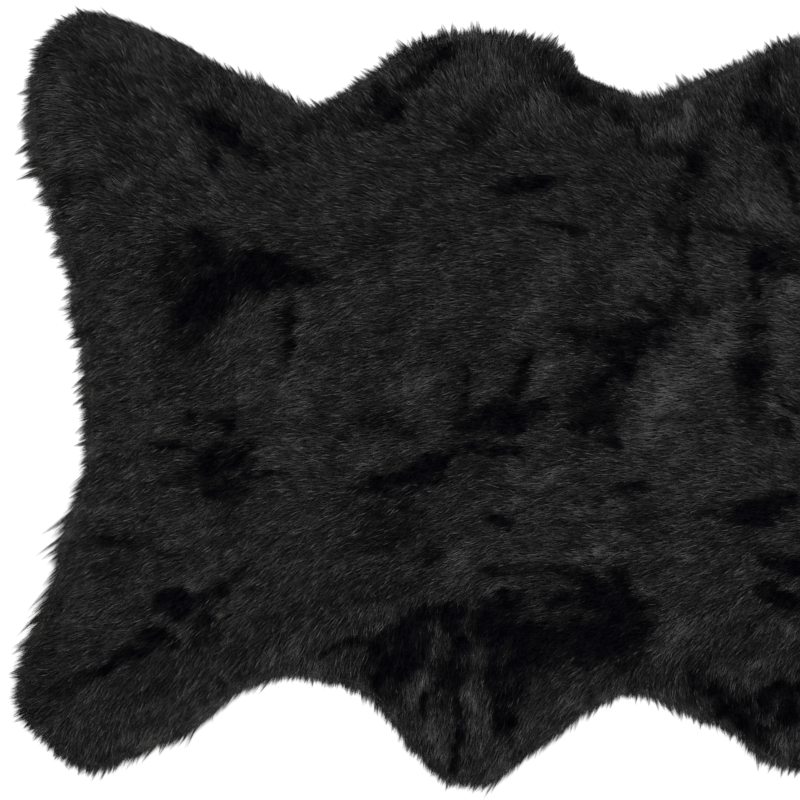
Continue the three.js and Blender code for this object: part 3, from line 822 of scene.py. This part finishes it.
class NodeBoard:
    """A material's nodes, added and joined a line at a time."""

    def __init__(self, name):
        self.material = bpy.data.materials.new(name)
        self.material.use_nodes = True
        self.tree = self.material.node_tree
        self.shader = self.tree.nodes["Principled BSDF"]

    def add(self, kind, settings=(), **inputs):
        """A new node with its settings, and its inputs as values or other nodes' outputs."""
        node = self.tree.nodes.new(kind)
        for setting, value in dict(settings).items():
            setattr(node, setting, value)
        for socket, value in inputs.items():
            self.put(node.inputs[socket.replace("_", " ")], value)
        return node

    def put(self, socket, value):
        """Join an output to a socket, or set the socket's value."""
        if isinstance(value, bpy.types.NodeSocket):
            self.tree.links.new(value, socket)
        else:
            socket.default_value = value

    def shade(self, **inputs):
        """Set or join the shader's own sockets."""
        for socket, value in inputs.items():
            self.put(self.shader.inputs[socket.replace("_", " ")], value)

    def math(self, operation, *values):
        """The output of a sum on some values or other nodes' outputs."""
        node = self.add("ShaderNodeMath", {"operation": operation})
        for socket, value in zip(node.inputs, values):
            self.put(socket, value)
        return node.outputs[0]

    def ramp(self, share, stops):
        """A colour ramp's colour output for stops of (place, colour)."""
        node = self.add("ShaderNodeValToRGB", Fac=share)
        while len(node.color_ramp.elements) < len(stops):
            node.color_ramp.elements.new(0.5)
        for element, (place, colour) in zip(node.color_ramp.elements, stops):
            element.position = place
            element.color = (*colour, 1)
        return node.outputs["Color"]


def black_hair(colours):
    """Acrylic hair: painted shade towards the root, soft black along it, and painted glints that make a few
    hairs paler.
    """
    board = NodeBoard("black_hair")
    root, hair, painted_highlight = (np.array(c) for c in (colours.root, colours.hair, colours.painted_highlight))
    uv = board.add("ShaderNodeUVMap", {"uv_map": HAIR_MAP})
    split = board.add("ShaderNodeSeparateXYZ", Vector=uv.outputs["UV"])

    # Even steps of tone make even steps of lightness, as each stop is a fixed share of the next.
    # The lowest stop is the root colour, painted shade deep in a parting, and its tint goes as the tone
    # gets lighter.
    soot = root.mean()
    tint = root - soot
    stops = [(t / 2, soot ** (1 - t) * hair**t + (1 - t) * tint) for t in (0, 0.2, 0.4, 0.6, 0.8, 1)]
    stops += [(0.5 + t / 2, hair ** (1 - t) * painted_highlight**t) for t in (0.25, 0.5, 0.75, 1)]
    # Uneven tone along each hair, which also breaks the painted glints into short dashes
    patches = board.add("ShaderNodeMapping", Vector=uv.outputs["UV"], Scale=(60, 10, 1))
    patches = board.add("ShaderNodeTexNoise", Vector=patches.outputs["Vector"], Scale=1.0, Detail=1.0)
    streak = board.math("MULTIPLY_ADD", patches.outputs["Fac"], STREAK_TONE, split.outputs["X"])
    tone = board.ramp(board.math("SUBTRACT", streak, STREAK_TONE / 2), stops)
    # Painted shade along each hair, darkest at its root
    along = board.ramp(split.outputs["Y"], [(place, (grey,) * 3) for place, grey in PAINTED_ROOT_SHADE])
    colour = board.add("ShaderNodeMix", {"data_type": "RGBA", "blend_type": "MULTIPLY"})
    colour.inputs[0].default_value = 1.0
    board.put(colour.inputs[6], tone)
    board.put(colour.inputs[7], along)
    board.shade(Base_Color=colour.outputs[2], Roughness=0.45, Specular_IOR_Level=0.004)
    return board.material


def dark_undercoat(colours):
    """The short dense hair under the long ones: near black, in fine uneven streaks, its black partly its
    own and partly painted shade.
    """
    board = NodeBoard("dark_undercoat")
    root, hair = np.array(colours.root), np.array(colours.hair)
    place = board.add("ShaderNodeTexCoord").outputs["Object"]
    stretch = board.add("ShaderNodeMapping", Vector=place, Scale=(260, 900, 600))
    streaks = board.add("ShaderNodeTexNoise", Vector=stretch.outputs["Vector"], Scale=1.0, Detail=4.0)
    # From the painted shade of a deep parting up to a little of the hair's own colour
    colour = board.ramp(streaks.outputs["Fac"], [(0.3, root), (0.7, mix(root, hair, 0.4))])
    bump = board.add("ShaderNodeBump", Strength=0.8, Distance=0.002, Height=streaks.outputs["Fac"])
    board.shade(Base_Color=colour, Normal=bump.outputs["Normal"])
    board.shade(Roughness=0.9, Specular_IOR_Level=0.05)
    return board.material


def knitted_cloth(colours):
    """The base cloth: a fine knit of charcoal yarn in rows of loops."""
    board = NodeBoard("knitted_cloth")
    place = board.add("ShaderNodeTexCoord").outputs["Object"]
    wales, courses = (
        board.add("ShaderNodeTexWave", {"bands_direction": way}, Vector=place, Scale=scale, Distortion=bend)
        for way, scale, bend in (("X", 180.0, 1.5), ("Y", 140.0, 1.0))
    )
    fuzz = board.add("ShaderNodeTexNoise", Vector=place, Scale=900.0, Detail=3.0)
    loops = board.math("MULTIPLY", wales.outputs["Fac"], courses.outputs["Fac"])
    height = board.math("MULTIPLY_ADD", fuzz.outputs["Fac"], 0.4, loops)
    yarn = np.array(colours.base_cloth)
    colour = board.ramp(height, [(0.1, 0.45 * yarn), (0.6, yarn), (1.0, 1.7 * yarn)])
    bump = board.add("ShaderNodeBump", Strength=0.6, Distance=0.0006, Height=height)
    board.shade(Base_Color=colour, Roughness=0.85, Normal=bump.outputs["Normal"])
    return board.material


class RUG_OT_base_cloth(bpy.types.Operator):
    """Lay the knitted base cloth flat on the floor."""

    bl_idname = "rug.base_cloth"
    bl_label = "Base cloth"

    def execute(self, context):
        thickness = context.scene.rug_sizes.cloth_thickness
        grid = hide_grid(CutEdge(), **CLOTH_GRID)
        material = knitted_cloth(context.scene.rug_colours)
        slab("base_cloth", grid, 0.0, np.full(grid.shape[:2], thickness), material)
        return {"FINISHED"}


class RUG_OT_undercoat(bpy.types.Operator):
    """Fill the pile with its short dense undercoat."""

    bl_idname = "rug.undercoat"
    bl_label = "Undercoat"

    def execute(self, context):
        sizes, edge = context.scene.rug_sizes, CutEdge()
        grid = hide_grid(edge, **UNDERCOAT_GRID)
        places = grid.reshape(-1, 2)
        nearest, inside = edge.beside(places)
        top = pile_top(places, inside, edge.reach[nearest], sizes) - 0.75 * sizes.hair_depth
        low = 1.15 * sizes.cloth_thickness
        material = dark_undercoat(context.scene.rug_colours)
        slab("undercoat", grid, low, np.maximum(top, low + MM), material)
        return {"FINISHED"}


class RUG_OT_pile(bpy.types.Operator):
    """Comb the long hairs over the whole rug."""

    bl_idname = "rug.pile"
    bl_label = "Pile"

    def execute(self, context):
        sizes, edge = context.scene.rug_sizes, CutEdge()
        rng = np.random.default_rng(11)
        roots, nearest, inside = edge.spread(sizes.hairs, rng, PILE_INSET, jitter=0.0005)
        line, width, tone = grow(
            roots, nearest, inside, edge, rug_locks(edge, sizes), sizes, rng, **PILE_HAIR
        )
        material = black_hair(context.scene.rug_colours)
        parts = np.array_split(np.argsort(roots[:, 0], kind="stable"), len(PILE_PARTS))
        for name, part in zip(PILE_PARTS, parts):
            blades(name, line[part], width[part], tone[part], rng, material)
        return {"FINISHED"}


class RUG_OT_rim_hairs(bpy.types.Operator):
    """Comb long fine hairs past the cut edge, in pointed locks."""

    bl_idname = "rug.rim_hairs"
    bl_label = "Rim hairs"

    def execute(self, context):
        sizes, edge = context.scene.rug_sizes, CutEdge()
        rng = np.random.default_rng(12)
        roots, nearest, inside = edge.spread(sizes.rim_hairs, rng, 0.0, RIM_HAIR_BAND, jitter=0.001)
        line, width, tone = grow(
            roots, nearest, inside, edge, rug_locks(edge, sizes), sizes, rng, **RIM_HAIR
        )
        blades("rim_hairs", line, width, tone, rng, black_hair(context.scene.rug_colours))
        return {"FINISHED"}


class RUG_OT_declare(bpy.types.Operator):
    """Work out the cut edge of the rug, and nothing more."""

    bl_idname = "rug.declare"
    bl_label = "Declare the cloth"

    def execute(self, context):
        edge = CutEdge()
        return {"FINISHED"}


def area_light(name, place, aim, size, power):
    """A soft square light that looks at a point."""
    light = bpy.data.lights.new(name, "AREA")
    light.shape = "SQUARE"
    light.size = size
    light.energy = power
    lamp = bpy.data.objects.new(name, light)
    lamp.location = place
    towards = Vector(aim) - Vector(place)
    lamp.rotation_euler = towards.to_track_quat("-Z", "Y").to_euler()
    bpy.context.collection.objects.link(lamp)


class RUG_OT_studio(bpy.types.Operator):
    """Set the pale floor, the soft lights and the camera."""

    bl_idname = "rug.studio"
    bl_label = "Studio"

    def execute(self, context):
        studio = context.scene.rug_studio
        camera = bpy.data.cameras.new("camera")
        camera.lens = studio.lens
        holder = bpy.data.objects.new("camera", camera)
        distance = studio.view_width * studio.lens / camera.sensor_width
        holder.location = (studio.view_x, studio.view_y, context.scene.rug_sizes.pile_height + distance)
        context.collection.objects.link(holder)
        context.scene.camera = holder

        board = NodeBoard("pale_floor")
        board.shade(Base_Color=(*studio.floor_colour, 1), Roughness=0.9, Specular_IOR_Level=0.1)
        mesh = bpy.data.meshes.new("floor")
        corners = [(x * FLOOR_HALF, y * FLOOR_HALF, 0) for x, y in ((-1, -1), (1, -1), (1, 1), (-1, 1))]
        mesh.from_pydata(corners, [], [(0, 1, 2, 3)])
        mesh.materials.append(board.material)
        floor = bpy.data.objects.new("floor", mesh)
        floor.location.z = -FLOOR_DROP
        context.collection.objects.link(floor)

        middle = (studio.view_x, 0, 0)
        for name, light in LIGHTS.items():
            area_light(name, aim=middle, **light)
        world = bpy.data.worlds.new("studio_world")
        world.use_nodes = True
        sky = world.node_tree.nodes["Background"]
        sky.inputs["Color"].default_value = (1, 1, 1, 1)
        sky.inputs["Strength"].default_value = SKY_LIGHT
        context.scene.world = world
        context.scene.view_settings.view_transform = "Standard"
        return {"FINISHED"}


class RUG_PT_panel(bpy.types.Panel):
    """The rug's sizes, colours and pieces."""

    bl_idname = "RUG_PT_panel"
    bl_label = "Fur rug"
    bl_space_type = "VIEW_3D"
    bl_region_type = "UI"
    bl_category = "Fur rug"

    def draw(self, context):
        for group in (context.scene.rug_sizes, context.scene.rug_colours, context.scene.rug_studio):
            box = self.layout.box()
            for name in group.__annotations__:
                box.prop(group, name)
        for operator in OPERATORS:
            self.layout.operator(operator.bl_idname)


GROUPS = {"rug_sizes": RugSizes, "rug_colours": RugColours, "rug_studio": StudioSettings}
OPERATORS = (
    RUG_OT_studio,
    RUG_OT_base_cloth,
    RUG_OT_undercoat,
    RUG_OT_pile,
    RUG_OT_rim_hairs,
    RUG_OT_declare,
)


def register():
    """Register the add-on's classes and their settings."""
    for group in GROUPS.values():
        bpy.utils.register_class(group)
    for name, group in GROUPS.items():
        setattr(bpy.types.Scene, name, bpy.props.PointerProperty(type=group))
    for operator in OPERATORS:
        bpy.utils.register_class(operator)
    bpy.utils.register_class(RUG_PT_panel)


def unregister():
    """Take the add-on's classes and settings away again."""
    bpy.utils.unregister_class(RUG_PT_panel)
    for operator in reversed(OPERATORS):
        bpy.utils.unregister_class(operator)
    for name, group in GROUPS.items():
        delattr(bpy.types.Scene, name)
        bpy.utils.unregister_class(group)


def main():
    """Build the stage and every piece in order."""
    register()
    bpy.ops.rug.studio()
    bpy.ops.rug.base_cloth()
    bpy.ops.rug.undercoat()
    bpy.ops.rug.pile()
    bpy.ops.rug.rim_hairs()
    bpy.ops.rug.declare()


if __name__ == "__main__":
    main()
